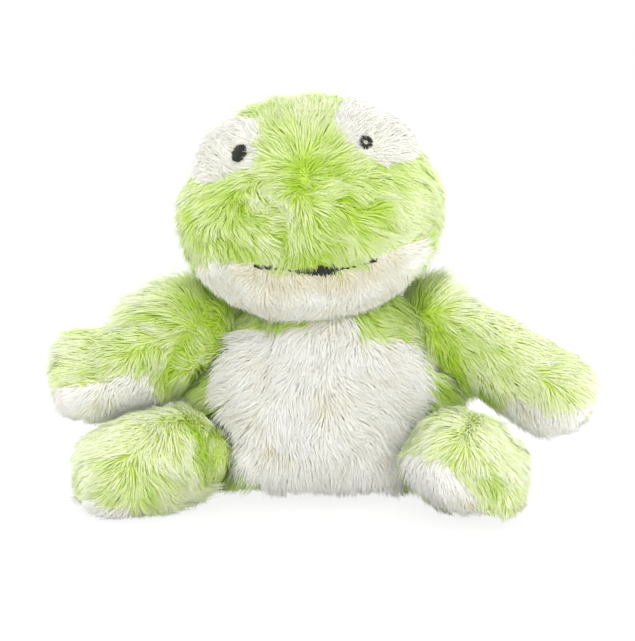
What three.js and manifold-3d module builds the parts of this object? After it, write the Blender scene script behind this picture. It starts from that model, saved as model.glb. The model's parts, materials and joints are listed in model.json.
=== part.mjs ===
// A seated plush frog: pile-fabric covers sewn round stuffed forms, with a
// weighted seat. Millimetres, +Z up; the frog faces -Y and its own left is +X.
import * as THREE from 'three';
import { mergeVertices } from 'three/addons/utils/BufferGeometryUtils.js';
import Module from 'manifold-3d';

const wasm = await Module();
wasm.setup();

// Driving sizes, in millimetres
const seam = 0.3;             // space between pieces that touch
const pile = 7;               // thickness of the long pile fabric with its pile
const restCut = 0.5;          // depth of the flat that each form rests on
const overrun = 40;           // how far a cutting block reaches past what it cuts

const body = { low: -restCut, height: 107, width: 76, front: 55, back: 56 };
const bodyTwist = THREE.MathUtils.degToRad(3);
const neck = { rise: 86, setBack: 4, radius: 42, cloth: 2, capRise: 27 };
const head = { low: 14, height: 120, width: 72, front: 68, back: 52, setLeft: 1.5, forward: 13 };
const headRoll = THREE.MathUtils.degToRad(-4.8);
const headYaw = THREE.MathUtils.degToRad(-1.5);

const arm = { length: 90, width: 26, top: 25, under: 25, root: 27 };
const shoulder = { spread: 70, forward: 2, rise: 88 };
const leg = { length: 76, width: 34, top: 30, under: 29, root: 19 };
const hip = { spread: 62, forward: 36, rise: leg.under - restCut };

const bellyPanel = { top: 99, behind: 20 };      // upper edge; side edges, ahead of the middle
const seatBag = { top: 46 };
const chin = { mouthRise: 33, behind: 18 };       // mouth line above the head's lowest point
const eyePatch = { halfWidth: 23, halfHeight: 21 };
const eye = { halfWidth: 4.6, halfHeight: 5.6, depth: 3, proud: 0.8 };
const mouth = { thread: 1.5, halfSpan: 27, sink: 0.8 };
const palm = { inboard: 46, below: 9 };
const sole = { inboard: 38, below: 15 };

// Shapes of the stuffed forms. Each row is the share of the height, then the
// shares of the half width and of the reach to the front and to the back.
const bodyShares = [
  [0, 0.62, 0.6, 0.62], [0.035, 0.8, 0.78, 0.8], [0.16, 0.95, 0.95, 0.97], [0.36, 1, 1, 1],
  [0.56, 0.98, 0.96, 0.94], [0.74, 0.91, 0.87, 0.82], [0.88, 0.72, 0.7, 0.66], [1, 0.35, 0.35, 0.35],
];
const headShares = [
  [0, 0.22, 0.24, 0.24], [0.05, 0.46, 0.6, 0.5], [0.14, 0.72, 0.8, 0.74], [0.24, 0.89, 0.84, 0.88],
  [0.32, 0.94, 0.92, 0.93], [0.4, 0.98, 1, 0.97], [0.5, 1, 1, 1], [0.57, 0.99, 0.96, 1],
  [0.65, 0.93, 0.84, 1], [0.72, 0.87, 0.73, 0.98], [0.8, 0.83, 0.64, 0.9], [0.88, 0.73, 0.54, 0.76],
  [0.95, 0.52, 0.36, 0.52], [1, 0.22, 0.14, 0.2],
];
const armShares = [
  [0, 1, 1.1, 1.1], [0.25, 1, 1.06, 1.06], [0.5, 0.93, 0.96, 0.94], [0.7, 1, 0.99, 0.97],
  [0.87, 0.95, 0.95, 0.93], [0.97, 0.64, 0.66, 0.64], [1, 0.3, 0.3, 0.3],
];
const legShares = [
  [0, 0.6, 0.7, 0.7], [0.2, 0.78, 0.92, 0.94], [0.4, 0.88, 1, 1], [0.58, 0.96, 1, 0.82],
  [0.76, 1, 1, 0.56], [0.9, 0.9, 0.95, 0.36], [0.98, 0.6, 0.72, 0.12], [1, 0.3, 0.5, 0],
];

// Directions in which the limbs lie, in degrees: turned out from straight ahead,
// dropped below level, and rolled about their own length. An arm lifts about a
// level axis and a leg swings about an upright one, between the two ends of its
// swing.
const limbPoses = {
  arm_left: { turn: 72, drop: 28, roll: 0, lifts: true, swing: [0, 40] },
  arm_right: { turn: -72, drop: 21, roll: 0, lifts: true, swing: [0, 40] },
  leg_left: { turn: 22, drop: -2, roll: -40, lifts: false, swing: [-15, 20] },
  leg_right: { turn: -66, drop: 0, roll: 0, lifts: false, swing: [0, 40] },
};

const squareness = 2.25;      // 2 makes each ring an ellipse, more makes it boxier
const bodyMesh = { sides: 22, rings: 12 };
const bodyLiningMesh = { sides: 14, rings: 8 };
const limbMesh = { sides: 14, rings: 8 };
const limbLiningMesh = { sides: 10, rings: 6 };
const ballMesh = { sides: 28, rings: 14 };
const smallBallMesh = { sides: 14, rings: 8 };
const tinyBallMesh = { sides: 10, rings: 6 };
const threadMesh = { steps: 12, curveSegments: 4 };
const fineRings = 200;        // rows used to find a place on a form
const fineTurn = THREE.MathUtils.degToRad(2);

// Where the eyes and their patches lie on the head: share of its height, and
// the turn from straight ahead.
const eyePlace = { heightShare: 0.8, turn: 33 };
const patchPlace = { heightShare: 0.83, turn: 48 };
const mouthShares = [-1, -0.66, -0.33, 0, 0.33, 0.66, 1];   // places along the mouth's thread

// Each limb: its sizes, the shape of its form, its white under panel, and the
// limb that lies below it
const limbs = {
  arm_left: { size: arm, shares: armShares, under: palm, underName: 'palm', below: 'leg_left' },
  arm_right: { size: arm, shares: armShares, under: palm, underName: 'palm', below: 'leg_right' },
  leg_left: { size: leg, shares: legShares, under: sole, underName: 'sole' },
  leg_right: { size: leg, shares: legShares, under: sole, underName: 'sole' },
};

const green = fabric('#b7dc77');
const white = fabric('#efefe8');
const wadding = fabric('#f4f3ee');
const cotton = fabric('#e2dccb');
const black = fabric('#2a2e1e');

function fabric(colour) {
  return new THREE.MeshStandardMaterial({ color: colour, roughness: 0.95, metalness: 0 });
}

// A closed geometry as a solid that can be joined and cut
function solidOf(geometry) {
  const bare = geometry.clone();
  bare.deleteAttribute('normal');
  bare.deleteAttribute('uv');
  const merged = mergeVertices(bare);
  return new wasm.Manifold(new wasm.Mesh({
    numProp: 3,
    vertProperties: new Float32Array(merged.attributes.position.array),
    triVerts: new Uint32Array(merged.index.array),
  }));
}

function meshOf(name, solid, material) {
  const result = solid.getMesh();
  const geometry = new THREE.BufferGeometry();
  geometry.setAttribute('position', new THREE.BufferAttribute(result.vertProperties, 3));
  geometry.setIndex(new THREE.BufferAttribute(result.triVerts, 1));
  geometry.computeVertexNormals();
  const mesh = new THREE.Mesh(geometry, material);
  mesh.name = name;
  return mesh;
}

// The rows of a form's shares, with smooth rows between them
function smoothRows(shares, rings) {
  const columns = [1, 2, 3].map((column) => {
    const points = shares.map((row) => new THREE.Vector2(row[0], row[column]));
    return new THREE.SplineCurve(points).getPoints(rings);
  });
  return columns[0].map((point, i) => [point.x, ...columns.map((column) => column[i].y)]);
}

// A point on a form: t turns from straight ahead (-Y) towards +X
function ringPoint(size, row, t) {
  const [heightShare, widthShare, frontShare, backShare] = row;
  const bend = (value) => Math.sign(value) * Math.abs(value) ** (2 / squareness);
  const reach = Math.cos(t) > 0 ? size.front * frontShare : size.back * backShare;
  return new THREE.Vector3(
    size.width * widthShare * bend(Math.sin(t)),
    -reach * bend(Math.cos(t)),
    size.low + size.height * heightShare,
  );
}

// A stuffed form: rings across its own Z, closed by a flat fan at each end
function stuffedForm(size, shares, { sides, rings }) {
  const rows = smoothRows(shares, rings);
  const positions = [];
  for (const row of rows) {
    for (let side = 0; side < sides; side += 1) {
      positions.push(...ringPoint(size, row, (side / sides) * Math.PI * 2).toArray());
    }
  }
  const bottom = rows.length * sides;
  positions.push(0, 0, size.low, 0, 0, size.low + size.height);
  const index = [];
  for (let side = 0; side < sides; side += 1) {
    const next = (side + 1) % sides;
    index.push(bottom, next, side);
    for (let ring = 0; ring < rows.length - 1; ring += 1) {
      const low = ring * sides;
      const high = low + sides;
      index.push(low + side, low + next, high + next, low + side, high + next, high + side);
    }
    const last = (rows.length - 1) * sides;
    index.push(bottom + 1, last + side, last + next);
  }
  const geometry = new THREE.BufferGeometry();
  geometry.setAttribute('position', new THREE.Float32BufferAttribute(positions, 3));
  geometry.setIndex(index);
  return geometry;
}

// The same form made smaller all round by a thickness, or larger by less than zero
function shrunk(size, by) {
  return {
    low: size.low + by,
    height: size.height - 2 * by,
    width: size.width - by,
    front: size.front - by,
    back: size.back - by,
  };
}

function ball(radius, centre = new THREE.Vector3(), mesh = ballMesh) {
  const geometry = new THREE.SphereGeometry(radius, mesh.sides, mesh.rings);
  geometry.rotateX(Math.PI / 2);
  return solidOf(geometry.translate(centre.x, centre.y, centre.z));
}

// A ball whose flat facets lie wholly outside the radius, for a hollow in which
// a ball of that radius turns
function hollowBall(radius, centre, mesh = ballMesh) {
  const flatShare = Math.cos(Math.PI / mesh.sides) * Math.cos(Math.PI / (2 * mesh.rings));
  return ball(radius / flatShare, centre, mesh);
}

// A block given by its lowest and highest corners
function blockGeometry(low, high) {
  const size = new THREE.Vector3().subVectors(high, low);
  const middle = new THREE.Vector3().addVectors(low, high).multiplyScalar(1 / 2);
  return new THREE.BoxGeometry(size.x, size.y, size.z).translate(middle.x, middle.y, middle.z);
}

function block(low, high) {
  return solidOf(blockGeometry(low, high));
}

// An oval post standing out of a form, for a patch or an eye: centred on a
// point of the form and square to it
function ovalPost(place, halfWidth, halfHeight, inward, outward) {
  const geometry = new THREE.CylinderGeometry(1, 1, inward + outward, smallBallMesh.sides);
  geometry.rotateX(Math.PI / 2);
  geometry.translate(0, 0, (outward - inward) / 2);
  geometry.scale(halfWidth, halfHeight, 1);
  const across = new THREE.Vector3(0, 0, 1).cross(place.normal).normalize();
  const up = place.normal.clone().cross(across);
  const frame = new THREE.Matrix4().makeBasis(across, up, place.normal).setPosition(place.point);
  return solidOf(geometry.applyMatrix4(frame));
}

// Point and outward direction on a form at a share of its height and a turn
function placeOn(size, shares, heightShare, t) {
  const rows = smoothRows(shares, fineRings);
  const i = rows.findIndex((row) => row[0] >= heightShare);
  const point = ringPoint(size, rows[i], t);
  const along = ringPoint(size, rows[i], t + fineTurn).sub(ringPoint(size, rows[i], t - fineTurn));
  const upward = ringPoint(size, rows[i + 1], t).sub(ringPoint(size, rows[i - 1], t));
  return { point, normal: along.cross(upward).normalize() };
}

// The frame of a limb: its origin is its joint, +Z runs out along the limb and
// +Y is its upper side. The limb has swung from rest by an angle in degrees.
function limbFrame(pivot, { turn, drop, roll, lifts }, swung = 0) {
  const rad = THREE.MathUtils.degToRad;
  const outward = new THREE.Vector3(Math.sin(rad(turn)), -Math.cos(rad(turn)), 0);
  const upright = new THREE.Vector3(0, 0, 1);
  const axis = lifts ? outward.cross(upright) : upright;
  const matrix = new THREE.Matrix4().makeTranslation(pivot);
  matrix.multiply(new THREE.Matrix4().makeRotationAxis(axis, rad(swung)));
  matrix.multiply(new THREE.Matrix4().makeRotationZ(rad(turn)));
  matrix.multiply(new THREE.Matrix4().makeRotationX(rad(90 + drop)));
  return matrix.multiply(new THREE.Matrix4().makeRotationZ(rad(roll)));
}

function groupAt(matrix, meshes) {
  const group = new THREE.Group();
  group.applyMatrix4(matrix);
  group.add(...meshes);
  return group;
}

// Joints, in the body's frame
const neckPivot = new THREE.Vector3(0, -neck.setBack, neck.rise);
const pivots = {
  arm_left: new THREE.Vector3(shoulder.spread, -shoulder.forward, shoulder.rise),
  arm_right: new THREE.Vector3(-shoulder.spread, -shoulder.forward, shoulder.rise),
  leg_left: new THREE.Vector3(hip.spread, -hip.forward, hip.rise),
  leg_right: new THREE.Vector3(-hip.spread, -hip.forward, hip.rise),
};

// Everything below the surface that the toy sits on
const floorReach = body.width + arm.length + overrun;
const floorGeometry = blockGeometry(
  new THREE.Vector3(-floorReach, -floorReach, -overrun),
  new THREE.Vector3(floorReach, floorReach, 0),
);

const bodyFrame = new THREE.Matrix4().makeRotationZ(bodyTwist);
const headFrame = new THREE.Matrix4().makeTranslation(neckPivot)
  .multiply(new THREE.Matrix4().makeRotationZ(headYaw))
  .multiply(new THREE.Matrix4().makeRotationY(headRoll));
const headShift = new THREE.Matrix4().makeTranslation(-head.setLeft, -head.forward, 0);

// The body's and the head's whole forms, smaller by a thickness, seen from a frame
function bodyForm(by, toFrame = new THREE.Matrix4()) {
  const geometry = stuffedForm(shrunk(body, by), bodyShares, by > 0 ? bodyLiningMesh : bodyMesh);
  const neckCentre = neckPivot.clone().applyMatrix4(toFrame);
  return solidOf(geometry.applyMatrix4(bodyFrame).applyMatrix4(toFrame))
    .add(ball(neck.radius - by, neckCentre, by > 0 ? smallBallMesh : ballMesh));
}

function headForm(by, toFrame = new THREE.Matrix4()) {
  const geometry = stuffedForm(shrunk(head, by), headShares, by > 0 ? bodyLiningMesh : bodyMesh);
  return solidOf(geometry.applyMatrix4(headShift).applyMatrix4(toFrame));
}

// The body: back and seat cover, belly panel, filling, and the bag in the seat
function makeBody() {
  const sockets = Object.entries(pivots)
    .map(([name, pivot]) => hollowBall(limbs[name].size.root + seam, pivot, smallBallMesh))
    .reduce((joined, socket) => joined.add(socket));
  const shell = bodyForm(0).subtract(bodyForm(pile)).subtract(solidOf(floorGeometry)).subtract(sockets);
  const inside = bodyForm(pile + seam).subtract(sockets);
  const wide = body.width + overrun;
  const bellyBlock = (inset) => solidOf(blockGeometry(
    new THREE.Vector3(-wide, -body.front - overrun, -overrun),
    new THREE.Vector3(wide, -bellyPanel.behind - inset, bellyPanel.top - inset),
  ).applyMatrix4(bodyFrame));
  const bagBlock = (top) => block(
    new THREE.Vector3(-wide, -body.front - overrun, -overrun),
    new THREE.Vector3(wide, body.back + overrun, top),
  );
  return [
    meshOf('body_cover', shell.subtract(bellyBlock(0)), green),
    meshOf('belly_panel', shell.intersect(bellyBlock(seam)), white),
    meshOf('body_filling', inside.subtract(bagBlock(seatBag.top)), wadding),
    meshOf('seat_bean_bag', inside.intersect(bagBlock(seatBag.top - seam)), cotton),
  ];
}

// The neck gusset: a cap of doubled cloth between the body's top and the head
function makeNeck() {
  const inner = neck.radius + seam;
  const cap = ball(inner + neck.cloth).subtract(hollowBall(inner)).intersect(block(
    new THREE.Vector3(-inner - overrun, -inner - overrun, neck.capRise),
    new THREE.Vector3(inner + overrun, inner + overrun, inner + overrun),
  ));
  return [meshOf('neck_gusset', cap, cotton)];
}

// The head, in a frame whose origin is the neck's joint
function makeHead() {
  const dish = hollowBall(neck.radius + neck.cloth + 2 * seam);
  const shell = headForm(0).subtract(headForm(pile)).subtract(dish);
  const inside = headForm(pile + seam).subtract(dish);
  const wide = head.width + overrun;
  const mouthHeight = head.low + chin.mouthRise;
  const chinBlock = (inset) => block(
    new THREE.Vector3(-head.setLeft - wide, -head.forward - head.front - overrun, -overrun),
    new THREE.Vector3(-head.setLeft + wide, -head.forward - chin.behind - inset, mouthHeight - inset),
  );
  const sideOf = { left: 1, right: -1 };
  const placed = (place, side) => {
    const t = THREE.MathUtils.degToRad(place.turn * sideOf[side]);
    const found = placeOn(head, headShares, place.heightShare, t);
    found.point.applyMatrix4(headShift);
    return found;
  };
  const patchPost = (side, inset) => ovalPost(placed(patchPlace, side),
    eyePatch.halfWidth - inset, eyePatch.halfHeight - inset, pile + overrun / 2, overrun / 2);
  const eyePost = (side, clearance) => ovalPost(placed(eyePlace, side),
    eye.halfWidth + clearance, eye.halfHeight + clearance, eye.depth + clearance, eye.proud);

  // The mouth's thread lies in the crease where the muzzle meets the chin
  const creaseRow = smoothRows(headShares, fineRings)
    .find((row) => row[0] >= chin.mouthRise / head.height);
  const mouthTurn = Math.asin(mouth.halfSpan / head.width);
  const mouthPoints = mouthShares.map((share) => (
    ringPoint(shrunk(head, mouth.sink), creaseRow, share * mouthTurn).applyMatrix4(headShift)));
  const threadTube = (radius) => {
    const section = new THREE.Shape().absarc(0, 0, radius, 0, Math.PI * 2);
    const extrudePath = new THREE.CatmullRomCurve3(mouthPoints);
    return solidOf(new THREE.ExtrudeGeometry(section, { ...threadMesh, bevelEnabled: false, extrudePath }));
  };
  const groove = threadTube(mouth.thread + seam);
  const cover = shell.subtract(chinBlock(0)).subtract(patchPost('left', 0)).subtract(patchPost('right', 0));
  const meshes = [
    meshOf('head_cover', cover.subtract(groove), green),
    meshOf('chin_panel', shell.intersect(chinBlock(seam)).subtract(groove), white),
    meshOf('head_filling', inside, wadding),
    meshOf('mouth_stitching', threadTube(mouth.thread), black),
  ];
  for (const side of ['left', 'right']) {
    const patch = shell.intersect(patchPost(side, seam)).subtract(eyePost(side, seam));
    meshes.push(meshOf(`eye_patch_${side}`, patch, white));
    meshes.push(meshOf(`eye_${side}`, eyePost(side, 0), black));
  }
  return meshes;
}

// A limb's form, smaller by a thickness, in its own frame or seen from another
function limbForm(name, by, toFrame = new THREE.Matrix4()) {
  const { size, shares } = limbs[name];
  const whole = { low: 0, height: size.length, width: size.width, front: size.under, back: size.top };
  const sized = { ...shrunk(whole, by), low: 0, height: size.length - by };
  return solidOf(stuffedForm(sized, shares, by > 0 ? limbLiningMesh : limbMesh).applyMatrix4(toFrame));
}

// All that a limb makes room for, larger by a thickness: the body and the head
// over the limb's swing and, for an arm, the leg below it over the leg's swing
function limbNeighbours(name, by) {
  const pose = limbPoses[name];
  const around = [0, ...pose.swing].map((swung) => {
    const toLimb = limbFrame(pivots[name], pose, swung).invert();
    return bodyForm(-by, toLimb).add(headForm(-by, headFrame.clone().premultiply(toLimb)));
  });
  const { below } = limbs[name];
  if (!below) return around;
  const toArm = limbFrame(pivots[name], pose).invert();
  return around.concat([0, ...limbPoses[below].swing].map((swung) => (
    limbForm(below, -by, limbFrame(pivots[below], limbPoses[below], swung).premultiply(toArm)))));
}

// A limb, in a frame whose origin is its joint: cover, white under panel, filling
function makeLimb(name) {
  const { size, under, underName } = limbs[name];
  const frame = limbFrame(pivots[name], limbPoses[name]);
  const layer = (by) => limbNeighbours(name, seam + by)
    .reduce((left, cut) => left.subtract(cut), limbForm(name, by))
    .add(ball(size.root - by, new THREE.Vector3(), by > 0 ? tinyBallMesh : smallBallMesh));
  const floor = solidOf(floorGeometry.clone().applyMatrix4(frame.clone().invert()));
  const shell = layer(0).subtract(layer(pile)).subtract(floor);
  const wide = size.width + overrun;
  const underBlock = (inset) => block(
    new THREE.Vector3(-wide, -size.under - overrun, under.inboard + inset),
    new THREE.Vector3(wide, -under.below - inset, size.length + overrun),
  );
  return groupAt(frame, [
    meshOf(`${name}_cover`, shell.subtract(underBlock(0)), green),
    meshOf(`${name}_${underName}`, shell.intersect(underBlock(seam)), white),
    meshOf(`${name}_filling`, layer(pile + seam), wadding),
  ]);
}

const frog = new THREE.Group();
frog.add(...makeBody());
frog.add(groupAt(new THREE.Matrix4().makeTranslation(neckPivot), makeNeck()));
frog.add(groupAt(headFrame, makeHead()));
for (const name of Object.keys(limbs)) frog.add(makeLimb(name));

// The origin is under the middle of the whole toy, on the surface it sits on
frog.updateMatrixWorld(true);
const extent = new THREE.Box3().setFromObject(frog, true);
const middle = extent.getCenter(new THREE.Vector3());
frog.position.set(-middle.x, -middle.y, -extent.min.z);
frog.updateMatrixWorld(true);

export default frog;
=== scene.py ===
# A seated plush frog in long green and white pile, with an embroidered face.
#
# Each body's covers become one smooth stuffed skin, taken from the frame's own solids and parted
# into its sewn panels. Pile grows on the skin strand by strand, the way that it is brushed.
import json
import math

import bpy
import numpy as np
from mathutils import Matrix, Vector
from mathutils.bvhtree import BVHTree


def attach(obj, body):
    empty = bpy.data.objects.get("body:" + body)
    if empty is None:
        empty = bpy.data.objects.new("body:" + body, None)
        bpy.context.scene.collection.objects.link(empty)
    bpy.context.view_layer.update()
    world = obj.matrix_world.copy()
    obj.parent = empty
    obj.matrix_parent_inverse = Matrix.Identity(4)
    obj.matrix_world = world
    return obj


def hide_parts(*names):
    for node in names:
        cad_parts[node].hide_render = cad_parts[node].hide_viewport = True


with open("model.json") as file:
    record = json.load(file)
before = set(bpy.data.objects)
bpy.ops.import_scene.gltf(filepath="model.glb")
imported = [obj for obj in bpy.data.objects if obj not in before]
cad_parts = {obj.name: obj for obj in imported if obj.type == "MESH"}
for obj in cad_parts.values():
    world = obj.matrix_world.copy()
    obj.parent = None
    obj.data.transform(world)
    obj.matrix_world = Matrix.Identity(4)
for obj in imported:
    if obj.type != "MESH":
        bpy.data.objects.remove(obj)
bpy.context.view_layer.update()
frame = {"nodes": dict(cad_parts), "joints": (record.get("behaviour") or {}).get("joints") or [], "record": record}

MM = 0.001
UP = np.array((0.0, 0.0, 1.0))
BODIES = frame["record"]["behaviour"]["bodies"]

# How the photograph looks at the frog. Places in it are in its pixels, right and down.
PHOTO_WIDTH = 635
PHOTO_HEIGHT = 641
PIXEL = 0.56 * MM              # what one of them spans at the aim
VIEW_DISTANCE = 1500 * MM
VIEW_RISE = math.radians(9)
AIM = np.array((-2.5, 36.0, 94.0)) * MM
BACK = np.array((0.0, -math.cos(VIEW_RISE), math.sin(VIEW_RISE)))
RIGHT = np.array((1.0, 0.0, 0.0))
OVER = np.cross(BACK, RIGHT)
EYE = AIM + BACK * VIEW_DISTANCE
SENSOR = 36.0

# The studio: light from all round, and lamps by place, size in metres and power in watts
ROOM = 0.66
LAMPS = {
    "front_lamp": ((0.1, -1.7, 0.45), 1.6, 30.0),
    "low_lamp": ((0.3, -1.6, 0.06), 1.2, 12.0),
    "top_lamp": ((-0.1, -0.4, 1.6), 1.4, 13.0),
    "left_lamp": ((-1.5, 0.3, 0.5), 1.0, 13.0),
    "right_lamp": ((1.5, 0.3, 0.5), 1.0, 13.0),
    "back_lamp": ((0.1, 1.6, 0.7), 1.2, 22.0),
}
# The share of the floor's own light where the camera sees it by the frog, and how many metres
# away that starts and stops going down to none
SHADOWED = 0.12
SHADOW_REACH = (0.25, 0.8)
FLOOR_HALF = 9.0

# The stuffed skins
VOXEL = 2.4 * MM
SKIN_ROUNDS = 14               # smoothing that takes the facets out of the forms
CLOTH = 1.2 * MM               # knitted backing that the pile is woven into
LEAST_DEPTH = 0.5 * MM         # how deep the backing lies at least, and at most, which is as
DEEPEST = 7 * MM               # thick as the covers are
SEAM_ROUNDS = 3                # smoothing between one panel's pile and the next one's
# How much deeper it lies where the pile points straight out
END_DEPTHS = {"arm_left": 3.5 * MM, "arm_right": 3.5 * MM, "leg_left": 5 * MM}

# What the skins hold, and the gusset: voxels and how far inside their solids they lie, both in
# millimetres, rounds of smoothing, and how full they are
FILLING = (3.2, 1.0, 8, 0.8)
BEAN_BAG = (3, 0.4, 4, 0.9)
GUSSET = (1.0, 0.2, 3, None)

# The pile of each panel: dye, strand length, how deep its backing lies under the mean
# surface, strands in each square millimetre, how far the panel goes past its solid, matting
PANELS = {
    "head": {
        "head_cover": ("green", 13.5, 3.8, 1.2, 0, 0.75),
        "chin_panel": ("white", 9, 3.0, 1.7, 0, 0.35),
        "eye_patch_left": ("short_white", 7, 2.6, 1.8, 0, 0.2),
        "eye_patch_right": ("short_white", 7, 2.6, 1.8, 0, 0.2),
    },
    "body": {
        "body_cover": ("green", 14, 3.8, 0.95, 0, 0.7),
        "belly_panel": ("white", 14.5, 4.2, 1.4, 0, 0.6),
    },
    "arm_left": {
        "arm_left_cover": ("green", 13.5, 4.2, 1.1, 0, 0.75),
        "arm_left_palm": ("white", 10, 3.4, 1.3, 5, 0.5),
    },
    "arm_right": {
        "arm_right_cover": ("green", 13.5, 4.2, 1.1, 0, 0.75),
        "arm_right_palm": ("white", 10, 3.4, 1.3, 5, 0.5),
    },
    "leg_left": {
        "leg_left_cover": ("green", 13, 4.0, 1.1, 0, 0.75),
        "leg_left_sole": ("white", 9.5, 3.2, 1.3, 5, 0.5),
    },
    "leg_right": {
        "leg_right_cover": ("green", 13, 4.0, 1.1, 0, 0.75),
        "leg_right_sole": ("white", 9.5, 3.2, 1.3, 3, 0.5),
    },
}

# Each body's pile: how deep its shade is on the whole, how much paler the white is, how flat it
# lies, and how much shorter it is where it parts
LOOKS = {
    "head": (0.56, 0.15, 1.4, 0.4),
    "body": (0.5, 0.42, 1.15, 0.12),
    "arm_left": (0.27, 0.25, 1.2, 0.12),
    "arm_right": (0.33, 0.23, 1.2, 0.12),
    "leg_left": (0.14, 0.2, 1.4, 0.12),
    "leg_right": (0.1, 0.17, 1.4, 0.12),
}
# What is added to its shade, to how thickly it covers and to its matting where it is brushed
# calm, where it parts or shade is painted into its pits and creases, where another body is near,
# pressing it thinner and painting its shade in deeper (on green only), and at the nape's collar
EFFECTS = {
    "calm": (-0.5, 0, -0.8),
    "parted_and_shaded": (0.85, -0.2, 0),
    "pressed_and_shaded": (0.6, -0.25, 0),
    "collar": (-0.5, 0.8, 0),
}
BY_WHITE = 0.6                 # how much paler green pile is where its seam with white is near,
BY_WHITE_ROUNDS = 16           # and the smoothing that says how near
BLOTCHES = ((30, 0.12), (4, 0.1))       # unevenness of its shade: smoothing and strength;
SWAY = ((24, 0.36), (5, 0.3))  # and of its ways, in radians
CALM_SWAY = 0.6                # the share of that sway that is gone where it is calm
CALMED = 0.8                   # and how much flatter it lies there
# Painted contact shadow, where the pile meets the floor
FLOOR_PAINTED_SHADOW = 0.5              # how much deeper its shade is on the floor, and how high
FLOOR_SHADOW_REACH = 3 * MM           # that reaches
HEM_SHORTER = 0.45             # how much shorter the trunk's is there, and how high that reaches
HEM_REACH = 7 * MM
UNDERSIDE = -0.8               # how far down a skin looks, and how low it is, where it is sat on,
SEAT_TOP = 4 * MM              # and the share of the pile's cover and length that is left there
SEAT_COVER = 0.3
SEAT_LENGTH = 0.5
LOOKOUT = 40 * MM              # how far away another body is looked for,
PRESS_AND_SHADE_REACH = 8 * MM           # and how far its pressing and its painted shade reach
DENT = 2 * MM                  # how much deeper the backing lies where the pile parts
FULLER_BACKING = 0.8           # the share of being fuller that the backing takes up

# The collar of longer pile round the back of the neck
NAPE = (24 * MM, 34 * MM)      # how far back it starts, and is whole
COLLAR_REACH = 9 * MM
COLLAR_LONGER = 10 * MM
COLLAR_RISE = 0.9              # the share of the backing's depth that it gives up
COLLAR_LIES = {"head": -3, "body": 2}   # how much the head's hangs and the trunk's stands up

# How the pile lies where the photograph doesn't look: outward from the joint, the trunk's middle
# or the head's parting, downward, and up again near the shoulder
LIES = {"head": (0.7, 0.5, 0), "body": (0.25, 1, 0), "arm": (1, 0.3, 2.5), "leg": (1, 0.3, 0)}
HEAD_PARTING = np.array((0, -60, 30)) * MM
SHOULDER = 28 * MM
FACING_RISE = 2.5              # how soon the photograph's say is whole, from a skin seen edge on
BRUSH_HOLD = 3                 # how soon its brushed ways lead, from where they are far away
LEAST_LIE = 0.35

# Which panel a place is on
WANDER = 1.6                   # pixels that seams wander by, and their smoothing
WANDER_ROUNDS = 3
SEEN = 0.08                    # how far a skin must face the camera for the outlines to count,
FACE_SEEN = 0.05               # and the head's
FLANK = 32 * MM                # how far back the belly's white can be
CHIN_TOP = 14                  # pixels under the lip that are the chin's at least

# Strands
STRAND_RADIUS = 0.25 * MM
LENGTHS = (0.68, 1.1)          # shares of the pile's length from the shortest to the longest
FLYAWAYS = 9.0                 # how rare longer ones are, and how much longer
FLYAWAY_LONGER = 0.5
# What is drawn for a strand's own shade, for how far it flies and for its length: how far apart
# from the pile's own seed, and from what to what
STRAND_DRAWS = ((50.0, 0.0, 1.0), (90.0, 0.0, 1.0), (70.0, *LENGTHS))
STRAYING = 0.38
ROOT_LIE = 0.75                # how much of its comb and of its straying a strand's root shows
ROOT_STRAY = 0.5
TIP_RISE = 0.16                # how much its tip still grows outward, and how much it hangs
TIP_DROOP = 0.15
CLUMP_GAP = 2.6 * MM
TUFT_GAP = 7.5 * MM
CLUMPING = 0.44                # how much a strand is drawn to its clump's middle,
TUFTING = 0.4                  # and the clump to its tuft's
DRAWN = {"clump": 1.4, "tuft": 1.1}     # how that grows along the strand, as powers of its share
OVER_FLOOR = (-9.0, -9.0, 0.0004)       # the least place that a strand can have
LIT_AS_SKIN = 0.85             # how far strands are lit as the skin under them is,
LEAST_FACING = 0.5             # though never from behind their own faces
MOST_STRANDS = 18000           # in one piece, so that its mesh stays of a usable size

# The finish's map: what makes a strand's shade deep, the span of shade and length on it, and
# what the way round a strand adds across it and up it
SHADES = {"tone": 0.78, "shade": 0.05, "clump_shade": 0.1, "tuft_shade": 0.16}
MAP_SPAN = 0.93
MAP_ROUND = ((0.03, 0.03), (0.04, 0.02))
RAMP_STOPS = (0.0, 0.35, 0.75, 1.0)     # where along a strand its four colours are

# What a skin says of its pile, what each strand takes from its clump's and its tuft's seeds,
# and which attributes are vectors
GROWN = ("comb", "length", "tone", "cover", "matted")
SAMPLED = ("root", "grow", "comb", "stray", "length", "shade")
PLACES_AND_WAYS = ("root", "grow", "comb", "stray", "along", "out")

# The lip, where the muzzle's pile ends over the white chin
LIP = ((190, 260), (256, 266), (295, 271), (318, 272), (341, 269), (366, 263), (402, 251), (428, 239))
CHIN_ENDS = (196, 426)
# Where the muzzle's pile hangs over it: place along it, reach and length
LIP_WISPS = ((286, 9, 1.15), (316, 5, 0.15), (352, 9, 0.8))
LIP_REACH = 12                 # pixels over it and under it in which the pile is shorter,
LIP_OVER = 2
LIP_SHORTER = 0.58             # and by how much
# The strip of painted shadow under it, where the muzzle overhangs the chin, which shows tan:
# its middle, how far under it is, its half length and its reach
LIP_SHADOW_STRIP = (318, 9, 75, 8)
LIP_SHADOW_DEPTH = 0.85                     # how much deeper its shade is, and how much paler the whole chin's
CHIN_PALER = 0.02

# The eye patches: middle, turn and half sizes, and where they start to round off towards the
# back, and how far on they end
PATCHES = {"eye_patch_left": (381, 126, -14, 46, 35), "eye_patch_right": (225, 146, 22, 40, 31)}
PATCH_SIDE = 10 * MM
PATCH_BACK = 20 * MM
PATCH_PALER = 0.2              # how much paler they are, and how much deeper where they are seen
PATCH_DEEPER = 0.4
RIM_SHORTER = 0.4              # how much shorter the pile round them is,
RIM_REACH = 0.2                # and over what share of their size

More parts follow.
